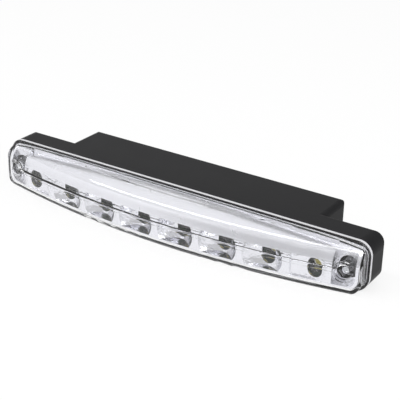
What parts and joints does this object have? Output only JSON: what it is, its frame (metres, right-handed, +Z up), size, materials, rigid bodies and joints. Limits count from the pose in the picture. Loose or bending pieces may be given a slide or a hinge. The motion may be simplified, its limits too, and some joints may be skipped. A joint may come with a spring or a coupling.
{
  "type": "daytime running light",
  "caption": "Slim car daytime running light with a clear crowned lens, metallised cup reflector and black two-step rear housing.",
  "frame": {"origin": "under the middle of the lamp's outline, on the plane of its flat underside", "axes": "+X along the lamp, to the right seen from its lens side; -Y out of the lens; +Y out of the rear face; +Z up"},
  "size_m": [0.185, 0.0466, 0.0225],
  "materials": {
    "housing_black": "fine moulded grain, satin black",
    "lens_clear": "clear, polished",
    "seal_rubber": "matt black",
    "reflector_chrome": "bright vacuum-metallised plastic",
    "board_green": "solder-masked glass fibre board",
    "led_clear": "water-clear epoxy",
    "tinned_metal": "tinned",
    "resistor_body": "lacquered",
    "diode_body": "moulded epoxy",
    "screw_steel": "zinc plated",
    "gland_rubber": "matt black",
    "insert_brass": "knurled, plain turned faces"
  },
  "bodies": {
    "root": {"rear_housing": "housing_black", "front_lens": "lens_clear", "perimeter_seal": "seal_rubber", "reflector": "reflector_chrome", "circuit_board": "board_green", "led_1": "led_clear", "led_2": "led_clear", "led_3": "led_clear", "led_4": "led_clear", "led_5": "led_clear", "led_6": "led_clear", "led_7": "led_clear", "led_8": "led_clear", "led_pins": "tinned_metal", "resistor_1": "resistor_body", "resistor_2": "resistor_body", "resistor_3": "resistor_body", "resistor_4": "resistor_body", "rectifier_diode": "diode_body", "board_screw_left": "screw_steel", "board_screw_right": "screw_steel", "lens_screw_left": "screw_steel", "lens_screw_right": "screw_steel", "cable_gland": "gland_rubber", "mount_insert_left": "insert_brass", "mount_insert_right": "insert_brass"}
  },
  "joints": []
}
